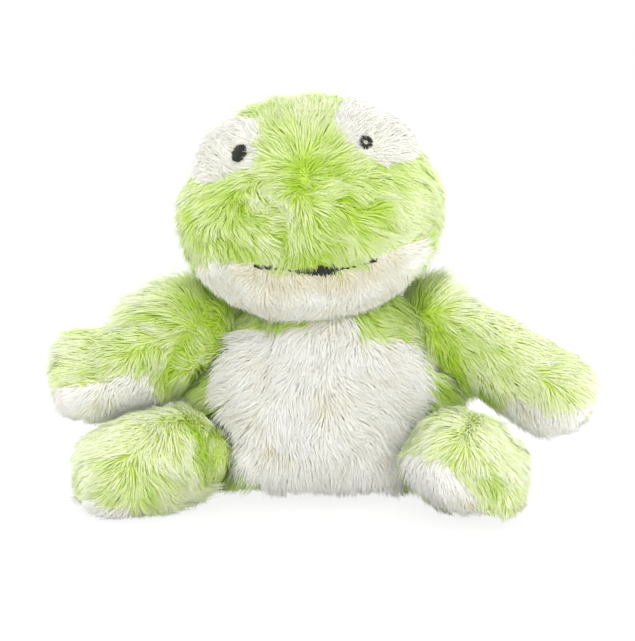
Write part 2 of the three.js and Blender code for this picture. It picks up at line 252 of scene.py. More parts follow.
# The other white panels' outlines where the photograph shows them
WHITE = {
    "body": ("belly_panel", [
        (222, 333), (240, 325), (318, 322), (324, 309), (353, 309), (357, 333), (400, 336),
        (416, 342), (424, 352), (427, 372), (424, 390), (426, 425), (430, 440), (412, 474),
        (396, 488), (394, 520), (262, 520), (262, 486), (254, 473), (246, 458), (237, 441),
        (226, 420), (218, 398), (216, 365), (218, 346)]),
    "arm_right": ("arm_right_palm", [
        (45, 384), (80, 385), (98, 381), (122, 378), (130, 372), (150, 368), (160, 378),
        (165, 395), (130, 450), (45, 450)]),
    "arm_left": ("arm_left_palm", [
        (498, 402), (512, 392), (525, 394), (545, 399), (575, 404), (592, 398), (605, 412),
        (590, 460), (500, 460)]),
    "leg_right": ("leg_right_sole", [
        (70, 496), (100, 499), (128, 503), (145, 510), (172, 514), (170, 540), (70, 540)]),
    "leg_left": ("leg_left_sole", [
        (396, 446), (418, 446), (434, 452), (446, 466), (462, 482), (476, 498), (482, 516),
        (480, 540), (380, 540), (385, 470)]),
}

# The embroidered eyes: middle, turn, half sizes, and whether they are open
EYES = {"eye_left": (364.5, 146, -50, 7.2, 6, True), "eye_right": (241.5, 156.5, 58, 8.6, 6.4, False)}
EYE_BARE = 1.05                # shares of their size in which the pile is left off, and trimmed,
EYE_COVER = 0.06               # and what is left of it
EYE_TRIMMED = 1.7
EYE_LENGTH = 0.35
SATIN_STITCHES = 44
ROUND_STITCHES = 34
ROUND_LEAN = 0.4               # radians that stitches round an open eye lean by,
ROUND_END = 0.3                # and the share of its size at which they end
# How uneven they are: radians round it, and shares of its size; and for satin stitches, the
# share of its width, and pixels aside and of slant
ROUND_UNEVEN = (0.08, 0.05, 0.08)
SATIN_UNEVEN = (0.06, 0.3, 0.4)
# How tall the mouth's stitches are along it, half of it, both in pixels
MOUTH = ((257, 1.6), (276, 2.0), (281, 0.3), (296, 0.3), (301, 3.4), (320, 4.2), (333, 3.4), (338, 1.2),
         (346, 0.3), (361, 0.3), (367, 1.1), (375, 0.8))
MOUTH_STEP = 0.8
MOUTH_RISE = (1.6, 0.2)        # pixels that they lie over the lip, and the share of their height
MOUTH_SLANT = (1.2, 0.8)       # pixels of slant, and its unevenness
TALL_UNEVEN = 0.2              # unevenness of their height, as a share, and of their place: in
PLACE_UNEVEN = (0.3, 0.15)     # pixels, and as a share of their height
MOUTH_COVER = 0.1              # what is left of the pile's cover under them
# How far over the skin the thread lies, how thick it is and how high it arches, in millimetres
EYE_THREAD = (2.2, 0.7, 0.8)
MOUTH_THREAD = (2.6, 0.75, 0.7)
THREAD_RADIUS = 0.25           # share of its thickness at a stitch's ends, and twice that between
RANDOM_SEED = 7

# Ways that the pile is brushed: place, degrees from right round to up, and reach
BRUSHED = {
    "head": [
        (262, 112, 125, 18), (285, 104, 105, 18), (318, 98, 90, 18), (345, 104, 70, 18),
        (270, 142, 125, 12), (292, 126, 105, 12), (300, 146, 98, 9), (330, 132, 55, 14),
        (312, 160, 62, 8), (336, 165, 35, 8), (288, 162, 150, 8), (294, 180, -150, 7), (306, 190, -75, 8),
        (326, 186, -32, 8), (346, 204, -30, 8), (316, 174, 25, 6),
        (225, 140, 150, 20), (205, 160, 190, 16), (378, 120, 40, 20), (405, 145, 5, 16),
        (350, 152, -10, 11), (372, 168, -8, 14), (400, 172, -5, 14), (345, 165, -18, 11),
        (230, 173, 187, 14), (262, 168, 193, 12), (198, 180, 195, 14), (286, 178, 200, 9),
        (186, 200, 185, 14), (214, 198, 205, 10), (236, 198, -42, 12), (262, 194, -35, 12),
        (270, 215, -50, 13), (184, 226, 205, 14), (205, 234, -32, 11),
        (226, 246, -28, 11), (250, 240, -45, 12), (245, 224, -42, 12), (276, 244, -60, 10),
        (298, 212, -46, 12), (310, 234, -66, 9), (304, 256, -76, 9), (318, 205, -36, 9),
        (340, 198, -28, 12), (365, 204, -20, 12), (395, 195, -8, 15), (418, 214, -14, 15),
        (344, 235, -38, 11), (366, 234, -28, 13), (392, 238, -15, 13), (412, 246, 4, 11),
        (330, 254, -55, 8), (346, 257, -20, 8), (284, 264, 222, 8), (240, 258, 205, 9),
        (206, 256, 215, 10), (190, 250, 205, 8), (230, 290, 245, 16), (300, 296, 268, 20),
        (380, 284, -60, 16),
    ],
    "body": [
        (245, 318, 190, 8), (275, 318, 200, 9), (300, 316, 215, 8), (335, 314, 265, 7),
        (370, 322, -25, 8), (396, 326, -20, 10), (412, 306, 60, 9), (226, 305, 170, 12),
        (206, 338, 230, 11), (198, 362, 240, 10),
        (216, 340, 190, 9), (212, 364, 193, 9), (213, 392, 202, 9), (236, 345, 203, 11),
        (234, 372, 212, 11), (240, 400, 232, 12), (262, 350, 228, 13), (262, 385, 242, 14),
        (290, 355, 256, 14), (300, 400, 264, 18), (226, 425, 245, 11), (230, 450, 262, 11),
        (246, 470, 274, 12), (290, 460, 267, 18), (330, 350, -82, 14), (365, 350, -62, 14),
        (395, 360, -52, 13), (424, 366, -42, 12), (345, 400, -74, 16), (380, 400, -58, 14),
        (412, 400, -48, 12), (345, 450, -82, 16), (376, 440, -68, 14), (395, 470, -62, 12),
        (184, 385, 248, 10), (180, 405, 250, 10), (190, 430, 250, 10), (205, 458, 238, 10),
        (215, 478, 215, 8), (240, 488, 210, 10), (446, 375, -58, 10), (442, 400, -65, 8),
    ],
    "arm_right": [
        (242, 300, 60, 9), (222, 286, 100, 9), (200, 272, 112, 9), (192, 285, 138, 11),
        (170, 286, 146, 12), (206, 302, 170, 12), (180, 314, 190, 13),
        (146, 300, 160, 12), (150, 330, 198, 13), (125, 335, 190, 12), (166, 350, 225, 11),
        (186, 335, 225, 10), (140, 354, 214, 11), (110, 343, 186, 12), (85, 336, 170, 13),
        (90, 365, 183, 13), (68, 376, 188, 12), (120, 372, 214, 10), (145, 380, 240, 11),
        (85, 392, 205, 12), (100, 405, 222, 12), (166, 372, 245, 10),
    ],
    "arm_left": [
        (406, 298, 75, 10), (420, 286, 62, 10), (432, 272, 50, 9), (445, 274, 35, 9),
        (446, 290, 18, 9), (460, 296, -10, 12), (452, 308, -20, 10), (440, 322, -38, 9),
        (490, 315, -22, 13), (520, 334, -24, 13),
        (555, 350, -15, 13), (580, 375, -32, 13), (590, 400, -48, 12), (430, 334, -52, 10),
        (448, 355, -55, 10), (465, 375, -64, 11), (480, 350, -38, 12), (500, 375, -46, 12),
        (530, 375, -34, 12), (545, 400, -42, 13), (486, 395, -62, 10), (570, 420, -66, 12),
        (535, 415, -70, 12), (450, 315, -30, 12),
    ],
    "leg_right": [
        (120, 416, 224, 14), (155, 412, 244, 14), (94, 436, 208, 14), (122, 440, 226, 12),
        (155, 438, 250, 12), (185, 430, 262, 12), (205, 425, 255, 10), (215, 445, 245, 10),
        (226, 466, 235, 10), (200, 408, 245, 9), (236, 440, 240, 10), (85, 465, 195, 12),
        (100, 480, 212, 11), (120, 485, 238, 11),
        (140, 484, 260, 11), (160, 484, 285, 11), (182, 494, -38, 11), (205, 503, -16, 10),
        (176, 460, -52, 10), (110, 505, 235, 11), (145, 505, 268, 12), (80, 495, 216, 10),
    ],
    "leg_left": [
        (455, 408, 232, 14), (485, 412, 250, 14), (434, 418, 218, 12), (422, 436, 195, 10),
        (450, 444, 235, 10), (476, 448, 262, 11), (508, 436, 262, 12), (504, 466, -72, 12),
        (490, 490, -78, 11), (514, 500, -72, 11), (420, 462, -62, 11), (440, 484, -50, 11),
        (464, 500, -40, 11), (402, 455, -62, 9),
    ],
}

# Where it parts, so that its deep roots show, and where shade is painted into its pits, creases
# and undersides as deeper green: place, turn, half length, half width
PARTED_AND_SHADED = {
    "head": [
        (320, 171, -20, 21, 7), (291, 147, -60, 9, 5), (349, 201, -28, 18, 6), (325, 231, -78, 9, 6),
        (277, 240, -46, 13, 5), (235, 203, -52, 9, 5), (300, 183, -20, 8, 4), (218, 236, -15, 12, 8),
        (315, 251, -90, 8, 5), (381, 224, -10, 12, 5), (362, 181, -8, 14, 3), (250, 222, -45, 9, 3),
        (262, 205, -40, 8, 3), (338, 218, -30, 9, 3), (230, 255, -20, 10, 3), (283, 216, -60, 7, 3),
    ],
    "body": [
        (172, 386, -85, 14, 4), (203, 440, -80, 16, 7), (205, 470, -60, 12, 6), (240, 488, 0, 18, 5),
        (225, 316, -10, 20, 8), (400, 332, -20, 8, 3), (450, 395, -70, 14, 8),
        (192, 405, -75, 9, 3), (188, 350, -60, 20, 9), (288, 321, 2, 34, 5), (272, 447, -20, 14, 6),
        (381, 455, -60, 8, 4),
    ],
    "arm_right": [
        (225, 311, -30, 20, 12), (208, 318, -40, 24, 10), (200, 337, 60, 24, 10),
        (178, 366, 60, 16, 7), (100, 373, 4, 20, 4), (106, 403, -8, 14, 6),
        (186, 318, 20, 14, 3), (150, 345, 25, 9, 3), (160, 315, 12, 14, 3), (146, 362, 40, 7, 3),
    ],
    "arm_left": [
        (438, 335, -60, 20, 9), (411, 298, -60, 14, 9), (450, 375, -70, 18, 8), (432, 320, -35, 14, 5),
        (480, 393, -55, 18, 7), (470, 352, -48, 14, 3), (512, 403, -25, 16, 5), (495, 345, -30, 10, 3),
        (458, 330, -40, 10, 3), (500, 365, -40, 12, 2),
    ],
    "leg_right": [
        (208, 448, -76, 42, 13), (112, 456, -8, 15, 4), (144, 464, -38, 14, 4), (178, 478, -45, 6, 3),
        (150, 492, -85, 11, 3), (118, 496, -60, 9, 3), (130, 478, -70, 8, 2),
    ],
    "leg_left": [
        (486, 467, -12, 10, 4), (490, 480, -80, 11, 4), (452, 448, -30, 9, 3), (470, 470, -40, 9, 3),
        (500, 488, -85, 9, 3), (458, 508, -10, 24, 11), (414, 502, -50, 12, 5),
    ],
}

# Where it stands fuller than the solids, or less so: place, reach and millimetres
FULLER = {
    "arm_right": [(168, 286, 26, 12), (198, 276, 16, 12), (140, 300, 18, 7), (238, 298, 18, 7),
                  (92, 428, 22, -3), (42, 372, 24, -5), (84, 330, 18, 6), (160, 390, 14, 3)],
    "arm_left": [(418, 284, 16, 12), (434, 270, 12, 8), (410, 302, 16, 13), (560, 442, 24, -4),
                 (606, 385, 24, -4), (482, 290, 20, -5), (468, 396, 14, -3)],
    "body": [(238, 304, 20, 8), (406, 300, 20, 16), (398, 308, 12, 6), (185, 392, 20, 7),
             (196, 440, 16, 5), (446, 378, 14, 4), (232, 456, 18, 8), (270, 506, 26, -5),
             (320, 508, 30, -5), (370, 506, 26, -5)],
    "leg_left": [(500, 525, 26, -4), (534, 492, 16, -4), (468, 404, 14, -3), (404, 455, 14, 3),
                 (522, 440, 14, 6)],
    "leg_right": [(110, 514, 30, 2), (160, 514, 30, 3), (205, 506, 14, 3), (160, 394, 20, -4),
                  (62, 456, 20, -4), (236, 446, 26, -8)],
}

# Where it is brushed smooth, so that its pale tips lie together: place and reach
CALM = {
    "head": [(300, 118, 28), (340, 118, 24), (408, 205, 24), (400, 240, 18), (262, 125, 16)],
    "body": [(300, 335, 18)],
    "arm_right": [(168, 290, 18), (82, 352, 16)],
    "arm_left": [(468, 298, 24), (520, 340, 24), (575, 380, 30)],
    "leg_right": [(125, 428, 26), (168, 442, 18), (190, 500, 14)],
    "leg_left": [(474, 428, 28), (508, 440, 18)],
}


def linear(colour):
    """An sRGB hex colour as the linear colour that a shader socket takes."""
    shares = [int(colour[i:i + 2], 16) / 255 for i in (1, 3, 5)]
    return [s / 12.92 if s <= 0.04045 else ((s + 0.055) / 1.055) ** 2.4 for s in shares] + [1.0]


def add(tree, kind, inputs=(), **settings):
    """A new node with its settings, its inputs set by name or number to values or linked sockets."""
    node = tree.nodes.new(kind)
    for name, value in settings.items():
        setattr(node, name, value)
    for key, value in (inputs.items() if isinstance(inputs, dict) else enumerate(inputs)):
        if isinstance(value, bpy.types.Node):
            value = value.outputs[0]
        if isinstance(value, bpy.types.NodeSocket):
            tree.links.new(value, node.inputs[key])
        elif value is not None:
            node.inputs[key].default_value = value
    return node


# The kinds of node that come often: maths, and attributes read, kept and drawn at random
NUMBERS = "ShaderNodeMath"
VECTORS = "ShaderNodeVectorMath"
READ = "GeometryNodeInputNamedAttribute"
KEEP = "GeometryNodeStoreNamedAttribute"
RANDOM = "FunctionNodeRandomValue"


def kind_of(name):
    """Whether an attribute, also a seed's own, is a vector or a number."""
    return "FLOAT_VECTOR" if name.split("_")[-1] in PLACES_AND_WAYS else "FLOAT"


# Meshes as arrays


def arrays_of(mesh):
    """Vertices and faces of a mesh whose faces all have as many corners."""
    points = np.empty(len(mesh.vertices) * 3)
    mesh.vertices.foreach_get("co", points)
    corners = np.empty(len(mesh.loops), int)
    mesh.loops.foreach_get("vertex_index", corners)
    return points.reshape(-1, 3), corners.reshape(len(mesh.polygons), -1)


def mesh_of(name, points, faces):
    """A smooth mesh from arrays."""
    mesh = bpy.data.meshes.new(name)
    mesh.from_pydata(np.asarray(points).tolist(), [], np.asarray(faces).tolist())
    mesh.shade_smooth()
    return mesh


def object_of(name, made):
    """A new object in the scene for a mesh, lamp or camera."""
    thing = bpy.data.objects.new(name, made)
    bpy.context.scene.collection.objects.link(thing)
    return thing


def applied(thing, name):
    """A plain mesh object with all of a thing's modifiers applied, in place of the thing."""
    bpy.context.view_layer.update()
    graph = bpy.context.evaluated_depsgraph_get()
    mesh = bpy.data.meshes.new_from_object(thing.evaluated_get(graph))
    bpy.data.objects.remove(thing)
    mesh.name = name
    return object_of(name, mesh)


def spread_over(values, faces, rounds, share=0.5):
    """Values at vertices, each drawn towards its neighbours' mean some rounds over."""
    ends = np.concatenate([faces.ravel(), np.roll(faces, -1, 1).ravel()])
    others = np.concatenate([np.roll(faces, -1, 1).ravel(), faces.ravel()])
    columns = values.reshape(len(values), -1).T
    count = np.bincount(ends, minlength=len(values))
    for _ in range(rounds):
        means = [np.bincount(ends, column[others], len(values)) / count for column in columns]
        columns = columns * (1 - share) + share * np.array(means)
    return columns.T.reshape(values.shape)


def blotches(draws, count, faces, rounds):
    """A smooth random field at the vertices, of mean 0 and deviation 1."""
    field = spread_over(draws.standard_normal(count), faces, rounds)
    return (field - field.mean()) / field.std()


def unit(vectors):
    """Vectors made one long."""
    return vectors / np.maximum(np.linalg.norm(vectors, axis=-1, keepdims=True), 1e-12)


def normals_of(points, faces):
    """The ways out at the vertices of a mesh of quads."""
    a, b, c, d = (points[faces[:, i]] for i in range(4))
    across = np.cross(c - a, d - b)
    total = [np.bincount(faces.ravel(), np.repeat(across[:, i], 4), len(points)) for i in range(3)]
    return unit(np.array(total).T)


def largest_island(points, faces):
    """The part of a mesh that holds its highest point, without what is apart from it."""
    label = np.arange(len(points))
    while True:
        least = label.copy()
        for corner in range(faces.shape[1]):
            np.minimum.at(least, faces[:, corner], label[faces].min(1))
        least = least[least]
        if (least == label).all():
            break
        label = least
    kept = label == label[points[:, 2].argmax()]
    number = np.cumsum(kept) - 1
    return points[kept], number[faces[kept[faces[:, 0]]]]


def cut_out(points, faces):
    """The vertices that some faces use, and the faces by their new numbers."""
    used = np.unique(faces)
    number = np.zeros(len(points), int)
    number[used] = np.arange(len(used))
    return used, number[faces]


def solids_of(nodes):
    """Some CAD nodes' vertices and triangles, in one pair of arrays."""
    points, faces, start = [], [], 0
    for node in nodes:
        p, f = arrays_of(frame["nodes"][node].data)
        points.append(p)
        faces.append(f + start)
        start += len(p)
    return np.concatenate(points), np.concatenate(faces)


def remeshed(nodes, voxel):
    """The joined outside of some CAD nodes as an even mesh of quads."""
    joined = object_of("joined", mesh_of("joined", *solids_of(nodes)))
    modifier = joined.modifiers.new("voxels", "REMESH")
    modifier.mode = "VOXEL"
    modifier.voxel_size = voxel
    made = applied(joined, "remeshed")
    result = arrays_of(made.data)
    bpy.data.objects.remove(made)
    return largest_island(*result)


def distances(nodes, points, most=1.0):
    """How far points are from some CAD nodes, up to a distance."""
    corners, faces = solids_of(nodes)
    tree = BVHTree.FromPolygons(corners.tolist(), faces.tolist())
    found = (tree.find_nearest(p, most)[3] for p in points.tolist())
    return np.array([most if d is None else d for d in found])


# Places and ways as the photograph shows them


def seen_at(points):
    """Where the photograph shows points, in its pixels."""
    away = points - EYE
    depth = -(away @ BACK)
    flat = np.stack([away @ RIGHT, -(away @ OVER)], 1) / depth[:, None] * VIEW_DISTANCE / PIXEL
    return flat + (PHOTO_WIDTH / 2, PHOTO_HEIGHT / 2)


def sight(spot):
    """The way from the camera to a place in the photograph."""
    across, down = (np.array(spot) - (PHOTO_WIDTH / 2, PHOTO_HEIGHT / 2)) * PIXEL
    return unit(RIGHT * across - OVER * down - BACK * VIEW_DISTANCE)


def within(spots, x, y, turn, long, wide):
    """How far spots are from an oval's middle, as a share of its reach: 1 on its edge."""
    across, down = (spots - (x, y)).T
    angle = math.radians(turn)
    along = across * math.cos(angle) - down * math.sin(angle)
    aside = across * math.sin(angle) + down * math.cos(angle)
    return np.hypot(along / long, aside / wide)


def nearness(spots, rows):
    """How near spots are to the nearest of some circles or ovals: 1 in its middle, 0 well away."""
    near = np.zeros(len(spots))
    for x, y, *shape in rows:
        turn, long, wide = shape if len(shape) == 3 else (0, shape[0], shape[0])
        near = np.maximum(near, np.exp(-within(spots, x, y, turn, long, wide) ** 2))
    return near


def brushing(body, spots, facing, normals, ways):
    """Ways that pile lies: the given ways, led by what the photograph shows where it looks."""
    led = np.zeros_like(ways)
    weight = np.zeros(len(ways))
    for across, down, degrees, reach in BRUSHED[body]:
        turn = math.radians(degrees)
        way = RIGHT * math.cos(turn) + OVER * math.sin(turn)
        near = np.exp(-((spots - (across, down)) ** 2).sum(1) / (2 * reach ** 2)) * facing
        led += near[:, None] * way
        weight += near
    led /= np.maximum(weight, 1e-9)[:, None]
    hold = np.clip(weight * BRUSH_HOLD, 0, 1)[:, None]
    mixed = ways * (1 - hold) + led * hold
    flat = mixed - (mixed * normals).sum(1)[:, None] * normals
    return flat / np.maximum(np.linalg.norm(flat, axis=1, keepdims=True), LEAST_LIE)


def ways_of(body, points):
    """How pile lies where the photograph doesn't look."""
    outward, down, lift = LIES[body.split("_")[0]]
    middle = points.mean(0)
    if body in COLLAR_LIES:
        parting = middle + (HEAD_PARTING if body == "head" else 0)
        return unit(unit(points - parting) * outward - UP * down)
    joint = next(j for j in frame["joints"] if j["child"] == body)
    way = unit(middle - np.array(joint["pos_m"])) * outward - UP * down
    away = np.linalg.norm(points - joint["pos_m"], axis=1)
    return unit(way + UP * lift * np.exp(-(away / SHOULDER) ** 2)[:, None])


def turned(ways, normals, angles):
    """Ways that lie on a surface, each turned about its normal."""
    aside = np.cross(normals, ways)
    return ways * np.cos(angles)[:, None] + aside * np.sin(angles)[:, None]


def enclosed(spots, outline):
    """Whether each spot is inside a closed outline."""
    x, y = spots.T
    inside = np.zeros(len(spots), bool)
    for (x0, y0), (x1, y1) in zip(outline, outline[1:] + outline[:1]):
        if y0 != y1:
            inside ^= ((y0 > y) != (y1 > y)) & (x < x0 + (y - y0) / (y1 - y0) * (x1 - x0))
    return inside


def panels_of(body, points, spots, facing):
    """The number of the panel that each point is on."""
    names = list(PANELS[body])
    apart = [distances([node], points) - PANELS[body][node][4] * MM for node in names]
    panel = np.argmin(apart, 0)
    if body != "head":
        node, outline = WHITE[body]
        inside = enclosed(spots, outline) & ((body != "body") | (points[:, 1] < FLANK))
        return np.where(facing > SEEN, inside * names.index(node), panel)
    cover, chin = names.index("head_cover"), names.index("chin_panel")
    panel[panel > chin] = cover
    for node, oval in PATCHES.items():
        behind = np.maximum(points[:, 1] - PATCH_SIDE, 0) / PATCH_BACK
        inside = np.hypot(within(spots, *oval), behind) < 1
        panel[inside & (points[:, 2] > points[:, 2].mean())] = names.index(node)
    under = spots[:, 1] - np.interp(spots[:, 0], *zip(*LIP))
    seen = facing > FACE_SEEN
    between = (spots[:, 0] > CHIN_ENDS[0]) & (spots[:, 0] < CHIN_ENDS[1]) & seen
    panel[(panel == chin) & seen & (under < 0)] = cover
    panel[(panel == cover) & between & (under >= 0) & (under < CHIN_TOP)] = chin
    return panel


def places_of(body, points, spots, facing):
    """How calm the pile is at points, how far it parts or has shade painted into pits and creases, how
    near other bodies press it and paint their shade in, and how much it is the nape's collar.
    """
    others = [node for other, nodes in BODIES.items() if other != body for node in nodes]
    pressed_and_shaded = np.exp(-distances(others, points, LOOKOUT) / PRESS_AND_SHADE_REACH)
    collar = np.zeros(len(points))
    if body in COLLAR_LIES:
        collar = np.exp(-distances(["neck_gusset"], points, LOOKOUT) / COLLAR_REACH)
        collar = collar * np.clip((points[:, 1] - NAPE[0]) / (NAPE[1] - NAPE[0]), 0, 1)
    return {
        "calm": nearness(spots, CALM[body]) * facing, "parted_and_shaded": nearness(spots, PARTED_AND_SHADED[body]) * facing,
        "pressed_and_shaded": pressed_and_shaded * (1 - collar), "collar": collar,
    }


def sizes_of(body, panel, faces, spots, upright, places):
    """How long the pile is, how deep its backing lies and how matted it is."""
    rows = np.array([row[1:] for row in PANELS[body].values()], float)
    length, depth, _, _, matted = spread_over(rows[panel], faces, SEAM_ROUNDS).T
    length, depth = length * MM, depth * MM
    depth = depth + END_DEPTHS.get(body, 0) * np.clip(upright, 0, 1)
    for *circle, more in FULLER.get(body, ()):
        fuller = more * MM * nearness(spots, [circle])
        length = length + fuller
        depth = np.clip(depth - fuller * FULLER_BACKING, LEAST_DEPTH, DEEPEST)
    depth = np.clip(depth + DENT * places["parted_and_shaded"], LEAST_DEPTH, DEEPEST)
    length = length + COLLAR_LONGER * places["collar"]
    depth = depth * (1 - COLLAR_RISE * places["collar"])
    return length * (1 - LOOKS[body][3] * places["parted_and_shaded"]), depth, matted


def unevenness(draws, count, faces, kinds):
    """The sum of smooth random fields, each with its rounds of smoothing and its strength."""
    return sum(blotches(draws, count, faces, rounds) * strength for rounds, strength in kinds)


def tones_of(body, panel, faces, points, places, draws):
    """How deep the shade of the pile is, with shade painted deeper into its pits and creases, near other bodies
    and at the floor.
    """
    shade, whiter = LOOKS[body][:2]
    tone = shade + unevenness(draws, len(points), faces, BLOTCHES)
    white = np.array([row[0] != "green" for row in PANELS[body].values()])[panel]
    by_white = spread_over(white * 1.0, faces, BY_WHITE_ROUNDS) * (1 - white) * (body != "head")
    tone = tone - whiter * white - BY_WHITE * by_white
    # This paints shade in deeper where the pile parts or another body is near, and makes it paler where it is calm
    # or the collar
    for kind, (deeper, _, _) in EFFECTS.items():
        tone = tone + deeper * places[kind] * (1 - white if kind == "pressed_and_shaded" else 1)
    # Painted contact shadow, deeper towards the floor
    return tone + FLOOR_PAINTED_SHADOW * np.exp(-points[:, 2] / FLOOR_SHADOW_REACH)


def grounded(body, points, normals, length, cover):
    """The pile short and thin where the frog sits on it, and shorter at the trunk's foot."""
    under = (normals[:, 2] < UNDERSIDE) & (points[:, 2] < SEAT_TOP)
    length = np.where(under, length * SEAT_LENGTH, length)
    if body == "body":
        length = length * (1 - HEM_SHORTER * np.exp(-points[:, 2] / HEM_REACH))
    return length, np.where(under, SEAT_COVER, cover)


def skin_of(body, draws):
    """A body's stuffed skin and, at each of its vertices, what grows there."""
    points, faces = remeshed(BODIES[body], VOXEL)
    points = spread_over(points, faces, SKIN_ROUNDS)
    count = len(points)
    normals = normals_of(points, faces)
    spots = seen_at(points)
    towards = normals @ BACK
    facing = np.clip(towards * FACING_RISE, 0, 1)
    stray = np.stack([blotches(draws, count, faces, WANDER_ROUNDS) for _ in range(2)], 1) * WANDER
    panel = panels_of(body, points, spots + stray, towards)
    places = places_of(body, points, spots, facing)
    calm, collar = places["calm"], places["collar"]
    ways = ways_of(body, points)
    length, depth, matted = sizes_of(body, panel, faces, spots, (ways * normals).sum(1), places)
    if body in COLLAR_LIES:
        ways = unit(ways + UP * COLLAR_LIES[body] * collar[:, None])
    sway = unevenness(draws, count, faces, SWAY) * (1 - CALM_SWAY * calm + places["parted_and_shaded"])
    comb = turned(brushing(body, spots, facing, normals, ways), normals, sway)
    comb = spread_over(comb, faces, 1) * (LOOKS[body][2] + CALMED * calm)[:, None]
    tone = tones_of(body, panel, faces, points, places, draws)
    cover = np.ones(count)
    for kind, (_, fuller, smoother) in EFFECTS.items():
        cover = cover * (1 + fuller * places[kind])
        matted = matted * (1 + smoother * places[kind])
    length, cover = grounded(body, points, normals, length, cover)
    if body == "head":
        length, cover, tone = face_pile(panel, spots, facing, length, cover, tone)
    return {
        "points": points - normals * depth[:, None], "faces": faces, "panel": panel, "comb": comb,
        "length": length, "tone": np.clip(tone, 0, 1), "cover": cover, "matted": matted,
    }


def face_pile(panel, spots, facing, length, cover, tone):
    """The pile kept short over the lip, but for some wisps, and round the eye patches, left off
    under the stitches, and with shadow painted in tan under the lip, where the muzzle overhangs it."""
    across = spots[:, 0]
    above = np.interp(across, *zip(*LIP)) - spots[:, 1]
    edge = np.exp(-(above / LIP_REACH) ** 2) * facing * (above > -LIP_OVER)
    wisps = np.zeros(len(spots))
    for at, reach, share in LIP_WISPS:
        wisps = np.maximum(wisps, share * np.exp(-((across - at) / reach) ** 2))
    length = length * (1 - LIP_SHORTER * edge * (1 - wisps))
    tall = np.interp(across, *zip(*MOUTH), left=0, right=0)
    cover = np.where((abs(above) < tall) & (facing > 0), MOUTH_COVER, cover)
    for oval in PATCHES.values():
        away = within(spots, *oval) - 1
        length = length * (1 - RIM_SHORTER * np.exp(-(away / RIM_REACH) ** 2) * (away > 0))
    for *oval, _ in EYES.values():
        near = within(spots, *oval)
        cover = np.where((near < EYE_BARE) & (facing > 0), EYE_COVER, cover)
        length = np.where((near < EYE_TRIMMED) & (facing > 0), length * EYE_LENGTH, length)
    chin_panel = list(PANELS["head"]).index("chin_panel")
    # Painted shadow under the muzzle, as a tan strip on the chin
    at, down, half, reach = LIP_SHADOW_STRIP
    lip_shadow = np.exp(-((above + down) / reach) ** 2) * np.exp(-((across - at) / half) ** 4)
    tone = tone + (panel == chin_panel) * facing * (LIP_SHADOW_DEPTH * lip_shadow - CHIN_PALER)
    return length, cover, tone + (panel > chin_panel) * (PATCH_DEEPER * facing - PATCH_PALER)


# Pile


def node_group(name, inputs, outputs):
    """A tree of geometry nodes with named sockets, and what it is given."""
    tree = bpy.data.node_groups.new(name, "GeometryNodeTree")
    for way, sockets in (("INPUT", inputs), ("OUTPUT", outputs)):
        for socket, kind in sockets.items():
            tree.interface.new_socket(name=socket, in_out=way, socket_type=f"NodeSocket{kind}")
    return tree, add(tree, "NodeGroupInput").outputs


def instanced(tree, points, shape):
    """A shape at each point as plain geometry, and its vertices' places from their own root."""
    made = add(tree, "GeometryNodeInstanceOnPoints", {"Points": points, "Instance": shape})
    made = add(tree, "GeometryNodeRealizeInstances", [made])
    here = add(tree, "GeometryNodeInputPosition")
    root = add(tree, READ, ["root"], data_type="FLOAT_VECTOR")
    local = add(tree, VECTORS, [here, root], operation="SUBTRACT")
    return made, add(tree, "ShaderNodeSeparateXYZ", [local]).outputs


def ended(tree, made, places, finish):
    """A tree's end: what it made, moved to its places, smooth and in its finish."""
    made = add(tree, "GeometryNodeSetPosition", {"Geometry": made, "Position": places})
    made = add(tree, "GeometryNodeSetShadeSmooth", [made])
    made = add(tree, "GeometryNodeSetMaterial", {"Geometry": made, "Material": finish})
    add(tree, "NodeGroupOutput", [made])
    return tree


def strand_path():
    """A group that gives the point at a share of a strand's length, and the way it runs there."""
    tree, given = node_group(
        "strand_path", {"Share": "Float", "Root": "Vector", "Grow": "Vector", "Comb": "Vector",
                        "Stray": "Vector", "Length": "Float"}, {"Point": "Vector", "Way": "Vector"})
    start = add(tree, VECTORS, [given["Comb"], (ROOT_LIE,) * 3, given["Grow"]], operation="MULTIPLY_ADD")
    stray = add(tree, VECTORS, {0: given["Stray"], 3: ROOT_STRAY}, operation="SCALE")
    start = add(tree, VECTORS, [start, stray], operation="ADD")
    start = add(tree, VECTORS, [start], operation="NORMALIZE")
    end = add(tree, VECTORS, [given["Grow"], (TIP_RISE,) * 3, given["Comb"]], operation="MULTIPLY_ADD")
    end = add(tree, VECTORS, [end, given["Stray"]], operation="ADD")
    end = add(tree, VECTORS, [end, (0.0, 0.0, -TIP_DROOP)], operation="ADD")
    end = add(tree, VECTORS, [end], operation="NORMALIZE")
    bend = add(tree, VECTORS, [end, start], operation="SUBTRACT")

    # The way at the share, and the mean of the ways up to it, along which the strand has run
    turn = add(tree, VECTORS, {0: bend, 3: given["Share"]}, operation="SCALE")
    way = add(tree, VECTORS, [start, turn], operation="ADD")
    way = add(tree, VECTORS, [way], operation="NORMALIZE")
    half = add(tree, NUMBERS, [given["Share"], 0.5], operation="MULTIPLY")
    turn = add(tree, VECTORS, {0: bend, 3: half}, operation="SCALE")
    mean = add(tree, VECTORS, [start, turn], operation="ADD")
    run = add(tree, NUMBERS, [given["Share"], given["Length"]], operation="MULTIPLY")
    point = add(tree, VECTORS, {0: mean, 3: run}, operation="SCALE")
    point = add(tree, VECTORS, [given["Root"], point], operation="ADD")
    add(tree, "NodeGroupOutput", {"Point": point, "Way": way})
    return tree


